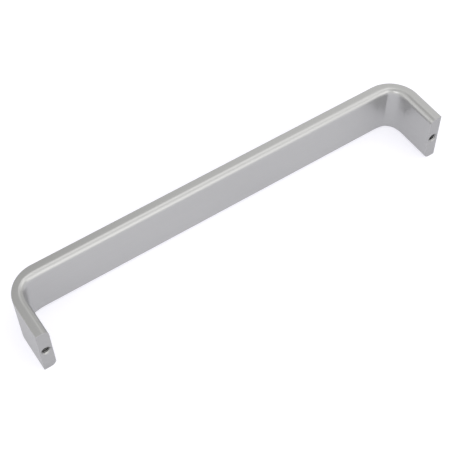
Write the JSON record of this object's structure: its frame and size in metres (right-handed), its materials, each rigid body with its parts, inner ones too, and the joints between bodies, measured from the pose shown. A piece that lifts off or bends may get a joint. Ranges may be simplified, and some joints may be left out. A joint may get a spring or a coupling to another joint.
{
  "type": "cabinet handle",
  "caption": "U-shaped cabinet handle bent from a flat satin aluminium bar, with softened inner edges and a blind tapped screw hole in the end of each leg.",
  "frame": {"origin": "on the mounting plane, midway between the axes of the screw holes and at half the bar's height", "axes": "+X along the handle from hole to hole, +Y out of the screw holes into the door, so the grip lies on the -Y side, +Z along the bar's height"},
  "size_m": [0.1976, 0.0305, 0.0244],
  "materials": {
    "anodised_aluminium": "satin"
  },
  "bodies": {
    "root": {"handle_bar": "anodised_aluminium"}
  },
  "joints": []
}
